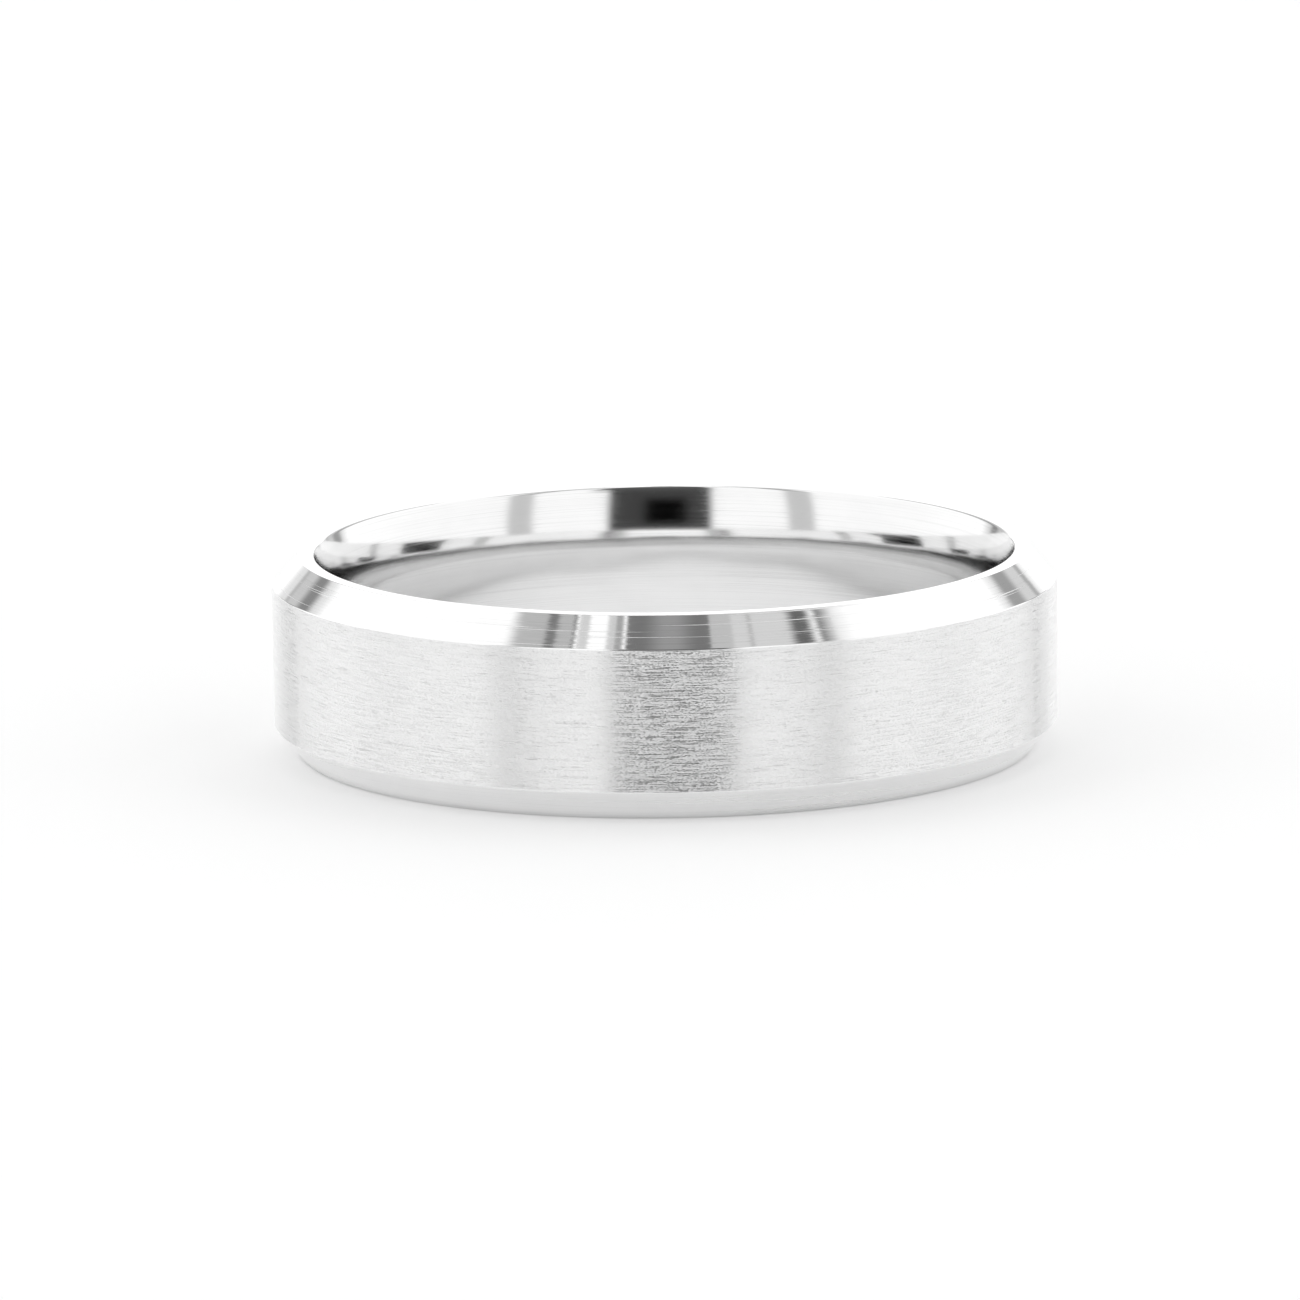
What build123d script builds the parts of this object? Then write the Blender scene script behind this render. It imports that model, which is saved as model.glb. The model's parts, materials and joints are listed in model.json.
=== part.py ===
"""Flat wedding band with bevelled edges and a comfort-fit bore, in millimetres.

A real band of this kind is turned from one seamless blank of white gold, so it is one
piece: the satin centre and the polished bevels, rims and bore are finishes on the same
metal, and nothing is set into it or joined to it.

Frame: the finger axis is +Z and the origin is at the middle of the bore.
"""
import os

from build123d import *

# Driving dimensions
BAND_WIDTH = 6.0          # along the finger, rim face to rim face
OUTER_DIAMETER = 23.4
BORE_DIAMETER = 20.2      # finger size at the narrowest part of the bore, US 10 1/2
BEVEL_HEIGHT = 0.89       # of each polished bevel, along the finger
BEVEL_DEPTH = 0.78        # of each polished bevel, across the wall
COMFORT_RELIEF = 0.36     # how far the bore opens out, on the radius, from land to rim
BORE_LAND = 2.0           # straight cylindrical stretch in the middle of the bore

# Edges that a finger can feel are eased; the turned edges between finishes stay crisp
BORE_EDGE_RADIUS = 0.14
RIM_EDGE_RADIUS = 0.04
BEVEL_EDGE_RADIUS = 0.06

# Worked out from the driving dimensions
outer_radius = OUTER_DIAMETER / 2
bore_radius = BORE_DIAMETER / 2
half_width = BAND_WIDTH / 2
satin_half_height = half_width - BEVEL_HEIGHT
rim_outer_radius = outer_radius - BEVEL_DEPTH
rim_inner_radius = bore_radius + COMFORT_RELIEF
land_half_height = BORE_LAND / 2

# The bore's relief is an arc that leaves the land at a tangent and ends at the rim
relief_rise = half_width - land_half_height
relief_radius = (relief_rise**2 + COMFORT_RELIEF**2) / (2 * COMFORT_RELIEF)


# Half of the wall's section, above the mid plane: its three corners are eased, it is
# mirrored to the whole section, and that is turned about the finger axis
with BuildPart() as band:
    with BuildSketch(Plane.XZ) as section:
        satin_corner = (outer_radius, satin_half_height)
        rim_outer_corner = (rim_outer_radius, half_width)
        rim_inner_corner = (rim_inner_radius, half_width)
        land_end = (bore_radius, land_half_height)
        with BuildLine():
            Polyline(
                land_end,
                (bore_radius, 0),
                (outer_radius, 0),
                satin_corner,
                rim_outer_corner,
                rim_inner_corner,
            )
            TangentArc(land_end, rim_inner_corner, tangent=(0, 1))
        make_face()
        eased_corners = (
            (satin_corner, BEVEL_EDGE_RADIUS),
            (rim_outer_corner, RIM_EDGE_RADIUS),
            (rim_inner_corner, BORE_EDGE_RADIUS),
        )
        for corner, radius in eased_corners:
            fillet(section.vertices().sort_by_distance(corner)[0], radius)
        mirror(about=Plane.XZ)
    revolve(axis=Axis.Z)
band.part.label = "band"

os.makedirs("parts", exist_ok=True)
export_step(band.part, "parts/band.step")
print(f"wall {outer_radius - bore_radius:.2f} mm, relief radius {relief_radius:.2f} mm,"
      f" volume {band.part.volume:.1f} mm3")
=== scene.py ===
"""Looks of the wedding band: a satin wall between two mirror-polished bevels.

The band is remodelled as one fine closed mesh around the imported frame, lies on a white
table in a white light tent, and is seen slightly from above.
"""
import json
from math import atan2, cos, pi, radians, sin, sqrt

import bpy
from mathutils import Matrix, Vector


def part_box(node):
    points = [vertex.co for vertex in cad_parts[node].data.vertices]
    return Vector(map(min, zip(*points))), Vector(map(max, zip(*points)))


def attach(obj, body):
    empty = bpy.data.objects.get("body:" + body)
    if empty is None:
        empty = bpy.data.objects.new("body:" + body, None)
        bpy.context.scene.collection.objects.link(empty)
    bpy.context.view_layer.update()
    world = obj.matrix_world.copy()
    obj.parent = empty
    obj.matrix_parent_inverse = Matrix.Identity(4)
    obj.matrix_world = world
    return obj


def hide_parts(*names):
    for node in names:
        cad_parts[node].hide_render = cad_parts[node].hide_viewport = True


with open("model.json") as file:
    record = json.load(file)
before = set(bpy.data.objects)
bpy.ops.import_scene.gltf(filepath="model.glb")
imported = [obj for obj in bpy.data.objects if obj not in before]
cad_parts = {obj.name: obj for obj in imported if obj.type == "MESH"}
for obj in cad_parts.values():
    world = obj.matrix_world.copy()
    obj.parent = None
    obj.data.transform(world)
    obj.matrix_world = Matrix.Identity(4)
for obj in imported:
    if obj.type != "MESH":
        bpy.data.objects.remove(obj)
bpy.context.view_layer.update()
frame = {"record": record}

MM = 0.001

# Band sizes that the frame gives
_, BAND_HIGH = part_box("band")
OUTER_RADIUS = BAND_HIGH.x
HALF_WIDTH = BAND_HIGH.z
BORE_MOUNT = next(m for m in frame["record"]["mounts"] if m["name"] == "finger_bore")
BORE_RADIUS = BORE_MOUNT["dims"]["r_mm"] * MM
LAND_HALF_HEIGHT = BORE_MOUNT["dims"]["length_mm"] * MM / 2

# Band sizes as in the CAD section
BEVEL_HEIGHT = 0.89 * MM
BEVEL_DEPTH = 0.78 * MM
COMFORT_RELIEF = 0.36 * MM
BORE_EDGE_RADIUS = 0.14 * MM
RIM_EDGE_RADIUS = 0.04 * MM
BEVEL_EDGE_RADIUS = 0.06 * MM

# Fineness of the band's mesh
TURN_STEPS = 640
EASED_EDGE_STEPS = 6
BORE_EDGE_STEPS = 10
RELIEF_STEPS = 18

# Camera: a long lens, looking down at the band a little
CAMERA_DISTANCE = 30 * OUTER_RADIUS
CAMERA_ELEVATION = radians(10.87)
CAMERA_ROLL = radians(-0.72)
SENSOR_WIDTH = 36.0
NEAREST_SEEN = 0.01
FARTHEST_SEEN = 20
BAND_SHARE_OF_FRAME = 0.603
AIM_RIGHT = -0.0391 * OUTER_RADIUS
AIM_UP = -0.0110 * OUTER_RADIUS

# Light tent: white cloth, brighter at the back and under its top lamp. The cloth changes
# between these angles from straight in front, and the lamp begins between these heights.
FRONT_CLOTH = 1.10
BACK_CLOTH = 1.25
CLOTH_CHANGE = (75, 160)
TOP_LAMP = 2.0
LAMP_EDGE = (74, 82)

# White table with a painted glow that stands in for light from below, left out close around the
# band's foot as a painted contact shadow
TABLE_HALF_SIZE = 1.5
TABLE_COLOUR = 0.89
TABLE_PAINTED_GLOW = 0.18
FOOT_RADIUS = OUTER_RADIUS - 1.15 * MM
PAINTED_SHADOW_REACH = 0.25 * MM
PAINTED_GLOW_REACH = 0.6 * MM


# ---------------------------------------------------------------- the band's shape

def eased_corner(corner, normal_in, normal_out, radius, steps):
    """Points and normals of the arc that eases a corner between two straight faces."""
    turn = 1 + normal_in.dot(normal_out)
    centre = corner - (normal_in + normal_out) * (radius / turn)
    return arc(centre, radius, normal_in, normal_out, steps)


def arc(centre, radius, normal_in, normal_out, steps):
    """Points and normals along an arc whose normals point away from its centre."""
    start = atan2(normal_in.y, normal_in.x)
    sweep = atan2(normal_out.y, normal_out.x) - start
    points = []
    for step in range(steps + 1):
        angle = start + sweep * step / steps
        normal = Vector((cos(angle), sin(angle)))
        points.append((centre + normal * radius, normal))
    return points


def upper_section():
    """The wall's section above the mid plane, from the satin wall over the rim to the
    bore, as (zone, point, normal) with point and normal as radius and height."""
    outward = Vector((1, 0))
    upward = Vector((0, 1))
    bevel = Vector((BEVEL_HEIGHT, BEVEL_DEPTH)).normalized()
    satin_corner = Vector((OUTER_RADIUS, HALF_WIDTH - BEVEL_HEIGHT))
    rim_corner = Vector((OUTER_RADIUS - BEVEL_DEPTH, HALF_WIDTH))

    # The bore's relief is an arc that leaves the straight land at a tangent
    rise = HALF_WIDTH - LAND_HALF_HEIGHT
    relief_radius = (rise**2 + COMFORT_RELIEF**2) / (2 * COMFORT_RELIEF)
    relief_centre = Vector((BORE_RADIUS + relief_radius, LAND_HALF_HEIGHT))

    # The bore's eased edge lies inside both the relief's arc and the rim
    edge_height = HALF_WIDTH - BORE_EDGE_RADIUS
    reach = sqrt((relief_radius - BORE_EDGE_RADIUS) ** 2 - (edge_height - LAND_HALF_HEIGHT) ** 2)
    edge_centre = Vector((relief_centre.x - reach, edge_height))
    relief_end = (edge_centre - relief_centre).normalized()

    section = [("satin", Vector((OUTER_RADIUS, 0)), outward)]
    for point, normal in eased_corner(
        satin_corner, outward, bevel, BEVEL_EDGE_RADIUS, EASED_EDGE_STEPS
    ):
        section.append(("bevel", point, normal))
    for point, normal in eased_corner(
        rim_corner, bevel, upward, RIM_EDGE_RADIUS, EASED_EDGE_STEPS
    ):
        section.append(("rim", point, normal))
    for point, normal in arc(edge_centre, BORE_EDGE_RADIUS, upward, relief_end, BORE_EDGE_STEPS):
        section.append(("bore", point, normal))
    relief = arc(relief_centre, relief_radius, relief_end, Vector((-1, 0)), RELIEF_STEPS)
    for point, normal in relief[1:]:
        section.append(("bore", point, normal))
    return section


def whole_section():
    """The closed section, the upper half and then its mirror image back to the start, and
    the zone of the face strip from each of its points to the next."""
    upper = upper_section()
    section = [(point, normal) for _, point, normal in upper]
    for point, normal in section[:0:-1]:
        section.append((Vector((point.x, -point.y)), Vector((normal.x, -normal.y))))
    zones = [zone for zone, _, _ in upper]
    strips = zones[:-1] + ["bore"] + zones[-2:0:-1] + ["satin"]
    return section, strips


def build_band(materials):
    """One closed mesh, the section turned about the finger axis, with exact normals."""
    section, strips = whole_section()
    count = len(section)
    vertices, normals, faces, face_zones = [], [], [], []
    for step in range(TURN_STEPS):
        angle = 2 * pi * step / TURN_STEPS
        across = Vector((cos(angle), sin(angle), 0))
        for point, normal in section:
            vertices.append(tuple(across * point.x + Vector((0, 0, point.y))))
            normals.append(tuple(across * normal.x + Vector((0, 0, normal.y))))
    for step in range(TURN_STEPS):
        here = step * count
        there = (step + 1) % TURN_STEPS * count
        for index, zone in enumerate(strips):
            after = (index + 1) % count
            faces.append((here + index, there + index, there + after, here + after))
            face_zones.append(zone)
    mesh = bpy.data.meshes.new("band")
    mesh.from_pydata(vertices, [], faces)
    order = list(materials)
    for material in materials.values():
        mesh.materials.append(material)
    mesh.polygons.foreach_set("material_index", [order.index(zone) for zone in face_zones])
    mesh.polygons.foreach_set("use_smooth", [True] * len(faces))
    mesh.normals_split_custom_set_from_vertices(normals)
    mesh.validate()
    band = bpy.data.objects.new("band_metal", mesh)
    bpy.context.scene.collection.objects.link(band)
    return band


# ---------------------------------------------------------------- node helpers

def new_material(name):
    """A node material with only its Principled shader and its output."""
    material = bpy.data.materials.new(name)
    material.use_nodes = True
    return material, material.node_tree, material.node_tree.nodes["Principled BSDF"]


def node(tree, kind, **settings):
    """Adds a node and sets its properties."""
    made = tree.nodes.new(kind)
    for name, value in settings.items():
        setattr(made, name, value)
    return made


def feed(tree, socket, value):
    """Links an output to a socket, or sets the socket to a plain value."""
    if isinstance(value, bpy.types.NodeSocket):
        tree.links.new(value, socket)
    else:
        socket.default_value = value


def calc(tree, operation, *values):
    """The result of a Math node on these values or sockets."""
    made = node(tree, "ShaderNodeMath", operation=operation)
    for socket, value in zip(made.inputs, values):
        feed(tree, socket, value)
    return made.outputs["Value"]


def ramp(tree, value, low, high, to_low=0.0, to_high=1.0):
    """Maps value from low..high smoothly to to_low..to_high, and holds it there outside."""
    made = node(tree, "ShaderNodeMapRange", interpolation_type="SMOOTHSTEP")
    for name, number in (
        ("Value", value),
        ("From Min", low),
        ("From Max", high),
        ("To Min", to_low),
        ("To Max", to_high),
    ):
        feed(tree, made.inputs[name], number)
    return made.outputs["Result"]


def mix(tree, share, first, second):
    """A plain number between first and second by share."""
    made = node(tree, "ShaderNodeMix", data_type="FLOAT")
    feed(tree, made.inputs[0], share)
    feed(tree, made.inputs[2], first)
    feed(tree, made.inputs[3], second)
    return made.outputs[0]


def stretched(tree, around, along, lift=0.0):
    """Places on the band in features per metre around the finger and along it, with lift
    in metres pushing them along it."""
    place = node(tree, "ShaderNodeTexCoord").outputs["Object"]
    push = node(tree, "ShaderNodeCombineXYZ")
    feed(tree, push.inputs["Z"], lift)
    moved = node(tree, "ShaderNodeVectorMath", operation="ADD")
    feed(tree, moved.inputs[0], place)
    feed(tree, moved.inputs[1], push.outputs["Vector"])
    scaled = node(tree, "ShaderNodeVectorMath", operation="MULTIPLY")
    feed(tree, scaled.inputs[0], moved.outputs["Vector"])
    scaled.inputs[1].default_value = (around, around, along)
    return scaled.outputs["Vector"]


def noise(tree, place, detail=2.0):
    """A Noise node at these places, one feature to the unit."""
    made = node(tree, "ShaderNodeTexNoise", noise_dimensions="3D")
    feed(tree, made.inputs["Vector"], place)
    made.inputs["Scale"].default_value = 1.0
    made.inputs["Detail"].default_value = detail
    return made


def grain(tree, around, along, lift=0.0, detail=2.0):
    """Noise from 0 to 1, drawn out around the band."""
    return noise(tree, stretched(tree, around, along, lift), detail).outputs["Fac"]


def set_inputs(shader, **values):
    """Sets plain values on a shader's inputs, named with _ for each space."""
    for name, value in values.items():
        shader.inputs[name.replace("_", " ")].default_value = value


def centred(tree, value, size):
    """A noise value moved to run about 0, times size."""
    return calc(tree, "MULTIPLY", calc(tree, "SUBTRACT", value, 0.5), size)


def grey(tree, value):
    """A neutral colour of this brightness."""
    made = node(tree, "ShaderNodeCombineColor")
    for socket in made.inputs:
        feed(tree, socket, value)
    return made.outputs["Color"]


def tilted_normal(tree, slope, wave=None):
    """The surface's normal tilted along the finger by slope, and any way by wave, which is
    a vector."""
    normal = node(tree, "ShaderNodeNewGeometry").outputs["Normal"]
    lean = node(tree, "ShaderNodeCombineXYZ")
    feed(tree, lean.inputs["Z"], slope)
    total = node(tree, "ShaderNodeVectorMath", operation="ADD")
    feed(tree, total.inputs[0], normal)
    feed(tree, total.inputs[1], lean.outputs["Vector"])
    if wave is not None:
        waved = node(tree, "ShaderNodeVectorMath", operation="ADD")
        feed(tree, waved.inputs[0], total.outputs["Vector"])
        feed(tree, waved.inputs[1], wave)
        total = waved
    unit = node(tree, "ShaderNodeVectorMath", operation="NORMALIZE")
    feed(tree, unit.inputs[0], total.outputs["Vector"])
    return unit.outputs["Vector"]


# ---------------------------------------------------------------- the metal's finishes

# Satin: how far the scratches wander along the finger, how steeply each kind leans along
# it, what part of its noise makes a cut or a drift, and the drifts' shades and roughnesses
WANDER = 0.03 * MM
STROKE_SLOPE = 1.85
FLECK_SLOPE = 1.4
CUT_SHARE = (0.58, 0.68)
CUT_SLOPES = (-0.03, 0.55)
DRIFT_SLOPE = 0.15
DRIFT_SHARE = (0.3, 0.7)
SATIN_SHADES = (0.86, 0.88)
SATIN_ROUGHNESS = (0.29, 0.34)

# Polish: what part of its noise makes a cloud, a dark line, a dull line or a hairline mark,
# and how much clouds and dark lines differ from the metal's own shade
CLOUD_SHARE = (0.3, 0.7)
CLOUD_SHADE = 0.01
DARK_LINE_SHARE = (0.5, 0.75)
DARK_LINE_SHADE = 0.05
DULL_LINE_SHARE = (0.35, 0.75)
MARK_SHARE = (0.63, 0.72)


def satin_finish():
    """White gold brushed around the band: short wavy scratches that scatter light along the
    finger and hardly around it."""
    material, tree, shader = new_material("satin_white_gold")
    wander = centred(tree, grain(tree, around=300, along=600), WANDER)
    strokes = grain(tree, around=1100, along=31000, lift=wander, detail=1.0)
    flecks = grain(tree, around=14000, along=37000, lift=wander, detail=0.0)
    cuts = grain(tree, around=1300, along=36000, lift=wander, detail=1.0)
    drifts = grain(tree, around=160, along=5200, lift=wander)
    slopes = (
        centred(tree, strokes, STROKE_SLOPE),
        centred(tree, flecks, FLECK_SLOPE),
        ramp(tree, cuts, *CUT_SHARE, *CUT_SLOPES),
        centred(tree, drifts, DRIFT_SLOPE),
    )
    slope = slopes[0]
    for other in slopes[1:]:
        slope = calc(tree, "ADD", slope, other)
    shade = ramp(tree, drifts, *DRIFT_SHARE, *SATIN_SHADES)
    feed(tree, shader.inputs["Base Color"], grey(tree, shade))
    feed(tree, shader.inputs["Roughness"], ramp(tree, drifts, *DRIFT_SHARE, *SATIN_ROUGHNESS))
    set_inputs(shader, Metallic=1.0, Anisotropic=1.0, Anisotropic_Rotation=0.25)
    around = node(tree, "ShaderNodeTangent", direction_type="RADIAL", axis="Z")
    feed(tree, shader.inputs["Tangent"], around.outputs["Tangent"])
    feed(tree, shader.inputs["Normal"], tilted_normal(tree, slope))
    return material


def polished_finish(name, colour, haze, hairline, turning, waviness):
    """Mirror-polished white gold: a little haze, a few hairline marks around the band, the
    last of its turning lines, and the slow waves of a surface polished by hand."""
    material, tree, shader = new_material(name)
    cloud = grain(tree, around=700, along=1500, detail=3.0)
    lines = grain(tree, around=110, along=52000, detail=1.0)
    marks = grain(tree, around=80, along=24000, detail=1.0)
    waves = noise(tree, stretched(tree, around=260, along=420), detail=1.0).outputs["Color"]
    level = node(tree, "ShaderNodeVectorMath", operation="SUBTRACT")
    feed(tree, level.inputs[0], waves)
    level.inputs[1].default_value = (0.5, 0.5, 0.5)
    sized = node(tree, "ShaderNodeVectorMath", operation="SCALE")
    feed(tree, sized.inputs[0], level.outputs["Vector"])
    sized.inputs["Scale"].default_value = waviness
    shade = ramp(tree, cloud, *CLOUD_SHARE, colour - CLOUD_SHADE, colour + CLOUD_SHADE)
    darker = ramp(tree, lines, *DARK_LINE_SHARE, 0.0, DARK_LINE_SHADE)
    shade = calc(tree, "SUBTRACT", shade, darker)
    polish = ramp(tree, lines, *DULL_LINE_SHARE, haze, haze * 2)
    roughness = mix(tree, ramp(tree, marks, *MARK_SHARE), polish, hairline)
    slope = centred(tree, lines, turning)
    feed(tree, shader.inputs["Base Color"], grey(tree, shade))
    feed(tree, shader.inputs["Roughness"], roughness)
    feed(tree, shader.inputs["Normal"], tilted_normal(tree, slope, sized.outputs["Vector"]))
    set_inputs(shader, Metallic=1.0)
    return material


# ---------------------------------------------------------------- the studio

def window(tree, angle, low, high, soft):
    """1 where the angle is between low and high, fading to 0 over soft on each side."""
    rising = ramp(tree, angle, low - soft, low + soft)
    falling = ramp(tree, angle, high - soft, high + soft, 1.0, 0.0)
    return calc(tree, "MULTIPLY", rising, falling)


def light_tent():
    """The world: white cloth all round and a lamp on top, with the tent's openings, flaps,
    posts and frames as soft-edged grey panels. Angles are in degrees from the band, with
    0 straight in front and positive to the right, and up from the table."""
    # (from, to) around, (from, to) up, edge softness, brightness; each panel hangs in front
    # of those before it
    panels = (
        ((-23.4, 28), (54, 100), 1.2, 0.185),           # roof opening over the camera
        ((-7, 13), (54, 100), 8.0, 0.32),
        ((29, 67), (57, 77), 1.5, 0.68),                # roof flap on the right
        ((27, 39), (57, 77), 1.2, 0.54),
        ((47, 49), (57, 77), 0.8, 0.5),
        ((65.5, 73.0), (50, 76), 2.2, 0.14),
        ((75, 81.2), (50, 76), 1.5, 0.20),
        ((79, 84), (50, 76), 4.0, 0.90),
        ((-75, -60), (55, 77), 3.0, 0.50),              # roof flap on the left
        ((-66, -49.5), (55, 77), 0.9, 0.50),
        ((-62.5, -58.3), (55, 77), 1.2, 0.20),
        ((-51.3, -50), (55, 77), 0.6, 0.25),
        ((-48.3, -43.4), (55, 77), 0.8, 0.66),
        ((-34, -30), (60, 77), 1.2, 0.64),
        ((-30, -25.3), (60, 77), 1.3, 0.37),
        ((-16.5, 19), (2.5, 30), 2.0, 0.055),           # slit that the camera looks through
        ((-17, 25), (28, 56), 3.0, 0.10),
        ((-8, 6), (7, 22), 3.0, 0.0),                   # lens
        ((46, 55), (0, 28), 2.0, 0.62),                 # front posts
        ((46, 55), (28, 60), 2.0, 0.35),
        ((-53, -43), (0, 28), 2.0, 0.62),
        ((-53, -43), (28, 60), 2.0, 0.35),
        ((132, 150.5), (-2, 50), 3.0, 0.84),            # back posts
        ((138.8, 147.8), (-2, 50), 1.6, 0.68),
        ((146.3, 148.2), (-2, 50), 0.8, 0.44),
        ((135.3, 141.3), (-2, 50), 1.6, 0.36),
        ((-156.5, -134.5), (-2, 50), 3.2, 0.80),
        ((-151.2, -140.5), (-2, 50), 1.5, 0.60),
        ((-151, -149.5), (-2, 50), 0.8, 0.50),
        ((-144.3, -139), (-2, 50), 1.8, 0.26),
        ((100, 185), (76, 83), 1.5, 0.60),              # lamp frame
        ((-185, -100), (76, 83), 1.5, 0.60),
        ((82, 98), (-3, 3), 1.5, 0.3),                  # side vents at the table
        ((-98, -82), (-3, 3), 1.5, 0.3),
    )
    world = bpy.data.worlds.new("light_tent")
    bpy.context.scene.world = world
    world.use_nodes = True
    tree = world.node_tree
    background = tree.nodes["Background"]
    towards = node(tree, "ShaderNodeTexCoord").outputs["Generated"]
    split = node(tree, "ShaderNodeSeparateXYZ")
    feed(tree, split.inputs["Vector"], towards)
    right, back, up = split.outputs
    around = calc(tree, "ARCTAN2", right, calc(tree, "MULTIPLY", back, -1.0))
    around = calc(tree, "DEGREES", around)
    above = calc(tree, "DEGREES", calc(tree, "ARCSINE", up))
    away = calc(tree, "ABSOLUTE", around)
    brightness = ramp(tree, away, *CLOTH_CHANGE, FRONT_CLOTH, BACK_CLOTH)
    brightness = mix(tree, ramp(tree, above, *LAMP_EDGE), brightness, TOP_LAMP)
    for (left_edge, right_edge), (low_edge, high_edge), soft, level in panels:
        share = calc(
            tree,
            "MULTIPLY",
            window(tree, around, left_edge, right_edge, soft),
            window(tree, above, low_edge, high_edge, soft),
        )
        brightness = mix(tree, share, brightness, level)
    feed(tree, background.inputs["Color"], grey(tree, brightness))


def table():
    """A wide white table under the band, with a painted glow standing in for light from below,
    left out close to the band's foot as a painted contact shadow.
    """
    half = TABLE_HALF_SIZE
    height = -HALF_WIDTH
    mesh = bpy.data.meshes.new("table")
    corners = [(-half, -half, height), (half, -half, height), (half, half, height)]
    mesh.from_pydata(corners + [(-half, half, height)], [], [(0, 1, 2, 3)])
    material, tree, shader = new_material("table_white")
    set_inputs(
        shader,
        Base_Color=(TABLE_COLOUR, TABLE_COLOUR, TABLE_COLOUR, 1),
        Roughness=0.9,
        Specular_IOR_Level=0.0,
        Emission_Color=(1, 1, 1, 1),
    )
    place = node(tree, "ShaderNodeTexCoord").outputs["Object"]
    flat = node(tree, "ShaderNodeVectorMath", operation="MULTIPLY")
    feed(tree, flat.inputs[0], place)
    flat.inputs[1].default_value = (1, 1, 0)
    distance = node(tree, "ShaderNodeVectorMath", operation="LENGTH")
    feed(tree, distance.inputs[0], flat.outputs["Vector"])
    # Painted glow faded to nothing near the band's foot, which paints a dark contact shadow ring
    # there
    gap = calc(tree, "ABSOLUTE", calc(tree, "SUBTRACT", distance.outputs["Value"], FOOT_RADIUS))
    painted_glow = ramp(tree, gap, PAINTED_SHADOW_REACH, PAINTED_GLOW_REACH, 0.0, TABLE_PAINTED_GLOW)
    feed(tree, shader.inputs["Emission Strength"], painted_glow)
    mesh.materials.append(material)
    top = bpy.data.objects.new("table", mesh)
    bpy.context.scene.collection.objects.link(top)


def camera():
    """A long lens in front of the band, rolled a little, aimed so that the band sits
    where it does in the frame."""
    data = bpy.data.cameras.new("camera")
    data.sensor_width = SENSOR_WIDTH
    width_seen = 2 * OUTER_RADIUS / BAND_SHARE_OF_FRAME
    data.lens = SENSOR_WIDTH * CAMERA_DISTANCE / width_seen
    data.clip_start = NEAREST_SEEN
    data.clip_end = FARTHEST_SEEN
    eye = bpy.data.objects.new("camera", data)
    bpy.context.scene.collection.objects.link(eye)
    backward = Vector((0, -cos(CAMERA_ELEVATION), sin(CAMERA_ELEVATION)))
    right = Vector((1, 0, 0))
    up = backward.cross(right)
    place = backward * CAMERA_DISTANCE
    target = right * AIM_RIGHT + up * AIM_UP
    look = (target - place).to_track_quat("-Z", "Y").to_matrix().to_4x4()
    roll = Matrix.Rotation(CAMERA_ROLL, 4, "Z")
    eye.matrix_world = Matrix.Translation(place) @ look @ roll
    bpy.context.scene.camera = eye


camera()
light_tent()
table()

finishes = {
    "satin": satin_finish(),
    "bevel": polished_finish(
        "polished_bevel",
        colour=0.94,
        haze=0.035,
        hairline=0.42,
        turning=0.025,
        waviness=0.004,
    ),
    "rim": polished_finish(
        "polished_rim",
        colour=0.90,
        haze=0.05,
        hairline=0.20,
        turning=0.0,
        waviness=0.004,
    ),
    "bore": polished_finish(
        "polished_bore",
        colour=0.87,
        haze=0.07,
        hairline=0.11,
        turning=0.010,
        waviness=0.025,
    ),
}
band = build_band(finishes)
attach(band, "root")
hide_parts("band")

bpy.context.scene.view_settings.view_transform = "Standard"
